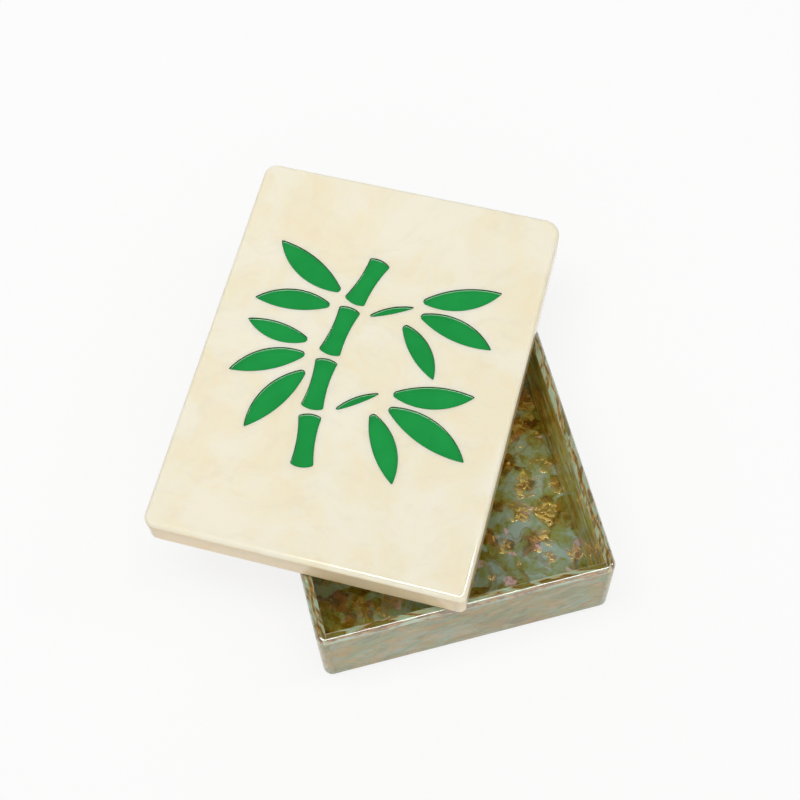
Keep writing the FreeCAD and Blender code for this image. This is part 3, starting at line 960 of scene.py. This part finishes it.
def pocketCutter():
    cutter = bmesh.new()
    for node in inlayNodes:
        outline = raisePrism(strokeOutline(node), lid["depth"] - lid["pocketDepth"],
                             lid["depth"] + lid["spare"])
        part = bpy.data.meshes.new("pocket")
        outline.to_mesh(part)
        outline.free()
        cutter.from_mesh(part)
        bpy.data.meshes.remove(part)
    return cutter


def makePanel():
    sheetLow = (-lid["width"], -lid["length"], lid["depth"] - lid["sheet"])
    sheetHigh = (lid["width"], lid["length"], lid["depth"] * 2)
    mesh = lidEnvelope()
    cutToBox(mesh, sheetLow, sheetHigh)
    blank, cutter = toObject(mesh, "panelBlank"), toObject(pocketCutter(), "pocketCutter")
    pockets = blank.modifiers.new("pockets", "BOOLEAN")
    pockets.operation = "DIFFERENCE"
    pockets.solver = "EXACT"
    pockets.object = cutter
    result = bpy.data.meshes.new_from_object(blank.evaluated_get(bpy.context.evaluated_depsgraph_get()))
    mesh = bmesh.new()
    mesh.from_mesh(result)
    for used in (blank, cutter):
        bpy.data.objects.remove(used)
    bpy.data.meshes.remove(result)
    roundEdges(mesh, hardEdge(onLevel(lid["depth"])), lid["pocketArris"], lid["pocketSteps"])
    return finishPiece("cream_top_panel", mesh, creamPanel, "lid", ["lid_top_panel"],
                       lidPlace)


creamPanel = makeCream("creamPanel", 20)
creamRim = makeCream("creamRim", 55)
greenInlay = makeGreen()
underPanel = lid["depth"] - lid["sheet"]
insideWidth, insideLength = halfWidth - lid["sheet"], halfLength - lid["sheet"]
rimStrips = {
    "lid_rim_left": ((-halfWidth, -halfLength), (-insideWidth, halfLength)),
    "lid_rim_right": ((insideWidth, -halfLength), (halfWidth, halfLength)),
    "lid_rim_front": ((-insideWidth, -halfLength), (insideWidth, -insideLength)),
    "lid_rim_back": ((-insideWidth, insideLength), (insideWidth, halfLength)),
}
for node, (low, high) in rimStrips.items():
    makeRimStrip(node, (*low, -lid["spare"]), (*high, underPanel))
makePanel()
for node in inlayNodes:
    makeInlayPiece(node)
print("lid made:", len(inlayNodes), "inlay pieces")


# Stage: white floor that keeps a soft shadow, soft lamps, and the camera

stage = {
    "floorSize": 4.0,
    "floorWhite": 0.86,
    "floorVaries": 0.01,
    "floorGrain": 900.0,
    "floorRough": 0.9,
    "floorSheen": 0.1,
    "floorGlow": 0.82,          # share of plain white that the camera sees
    "worldLow": 0.22,           # near the horizon, and straight up
    "worldHigh": 0.30,
    "worldFront": 0.80,         # added towards the front
    "worldTint": (1.0, 0.995, 0.985),
}
lamps = {
    # place, size and watts; each looks at the object's middle
    "overheadLeft": {"place": (-0.30, 0.00, 1.05), "size": (0.40, 0.34), "watts": 2.9},
    "overheadRight": {"place": (0.10, -0.04, 1.05), "size": (0.46, 0.34), "watts": 2.3},
    "right": {"place": (0.80, -0.07, 0.885), "size": (0.26, 0.12), "watts": 1.0},
    "back": {"place": (-0.10, 0.70, 0.36), "size": (0.70, 0.30), "watts": 1.0},
}
view = {
    "target": (-0.007305, 0.036076, 0.0),
    "distance": 0.55589,
    "azimuth": 8.629,
    "elevation": 63.936,
    "roll": -6.063,
    "focalPixels": 1599.05,
    "axisPixel": (370.64, 377.34),
    "imagePixels": 800,
    "sensor": 36,                   # millimetres
    "nearest": 0.01,
}


def seenShare(tree):
    # 1 for what the camera sees, straight, in a gloss or through glass
    rays = addNode(tree, "ShaderNodeLightPath").outputs
    seen = calc(tree, "MAXIMUM", rays["Is Camera Ray"], rays["Is Glossy Ray"])
    return calc(tree, "MAXIMUM", seen, rays["Is Transmission Ray"])


def makeFloor():
    mesh = bmesh.new()
    bmesh.ops.create_grid(mesh, x_segments=8, y_segments=8, size=stage["floorSize"] / 2)
    floor = toObject(mesh, "floor")
    material, tree, shader = newMaterial("paleFloor")
    grain = noise(tree, addNode(tree, "ShaderNodeTexCoord").outputs["Object"], stage["floorGrain"])["Fac"]
    whites = {name: (stage["floorWhite"] + step * stage["floorVaries"],) * 3
              for name, step in (("dimmer", -1), ("brighter", 1))}
    white = ramp(tree, grain, [(0.3, "dimmer"), (0.7, "brighter")], whites)
    feed(tree, shader, **{"Base Color": white, "Roughness": stage["floorRough"],
                          "Specular IOR Level": stage["floorSheen"]})
    glow = addNode(tree, "ShaderNodeEmission")
    blend = addNode(tree, "ShaderNodeMixShader")
    feed(tree, blend, Fac=calc(tree, "MULTIPLY", seenShare(tree), stage["floorGlow"]))
    tree.links.new(shader.outputs[0], blend.inputs[1])
    tree.links.new(glow.outputs[0], blend.inputs[2])
    tree.links.new(blend.outputs[0], tree.nodes["Material Output"].inputs["Surface"])
    floor.data.materials.append(material)


def makeWorld():
    world = bpy.data.worlds.new("paleRoom")
    world.use_nodes = True
    bpy.context.scene.world = world
    tree = world.node_tree
    room = tree.nodes["Background"]
    around = addNode(tree, "ShaderNodeTexCoord").outputs["Generated"]
    towards = axes(tree, around)
    level = addNode(tree, "ShaderNodeMapRange")
    feed(tree, level, **{"Value": towards["Z"], "To Min": stage["worldLow"], "To Max": stage["worldHigh"]})
    front = calc(tree, "MAXIMUM", calc(tree, "MULTIPLY", towards["Y"], -stage["worldFront"]), 0.0)
    strength = calc(tree, "ADD", level.outputs["Result"], front)
    feed(tree, room, Color=(*stage["worldTint"], 1), Strength=strength)
    white = addNode(tree, "ShaderNodeBackground")
    blend = addNode(tree, "ShaderNodeMixShader")
    rays = addNode(tree, "ShaderNodeLightPath").outputs
    feed(tree, blend, Fac=rays["Is Camera Ray"])
    tree.links.new(room.outputs[0], blend.inputs[1])
    tree.links.new(white.outputs[0], blend.inputs[2])
    tree.links.new(blend.outputs[0], tree.nodes["World Output"].inputs["Surface"])


def makeLamps():
    middle = (trayLow + trayHigh) / 2
    for name, look in lamps.items():
        data = bpy.data.lights.new(name, "AREA")
        data.shape = "RECTANGLE"
        data.size, data.size_y = look["size"]
        data.energy = look["watts"]
        lamp = bpy.data.objects.new(name, data)
        bpy.context.collection.objects.link(lamp)
        away = (Vector(look["place"]) - middle).normalized()
        across = (Vector((1, 0, 0)) - away * away.x).normalized()      # the lamp's width stays along X
        lamp.matrix_world = Matrix((across, away.cross(across), away)).transposed().to_4x4()
        lamp.location = look["place"]


def makeCamera():
    azimuth, elevation = math.radians(view["azimuth"]), math.radians(view["elevation"])
    forward = Vector((math.sin(azimuth) * math.cos(elevation), math.cos(azimuth) * math.cos(elevation),
                      -math.sin(elevation)))
    right = Vector((math.cos(azimuth), -math.sin(azimuth), 0))
    turned = Matrix.Rotation(math.radians(-view["roll"]), 3, forward)
    right = turned @ right
    up = right.cross(forward)
    data = bpy.data.cameras.new("camera")
    camera = bpy.data.objects.new("camera", data)
    bpy.context.collection.objects.link(camera)
    pose = Matrix((right, up, -forward)).transposed().to_4x4()
    pose.translation = Vector(view["target"]) - forward * view["distance"]
    camera.matrix_world = pose
    size = view["imagePixels"]
    data.sensor_width = view["sensor"]
    data.lens = view["focalPixels"] / size * data.sensor_width
    data.shift_x = (size / 2 - view["axisPixel"][0]) / size
    data.shift_y = (view["axisPixel"][1] - size / 2) / size
    data.clip_start = view["nearest"]
    bpy.context.scene.camera = camera


makeFloor()
makeWorld()
makeLamps()
makeCamera()
bpy.context.scene.view_settings.view_transform = "Standard"
print("stage made")
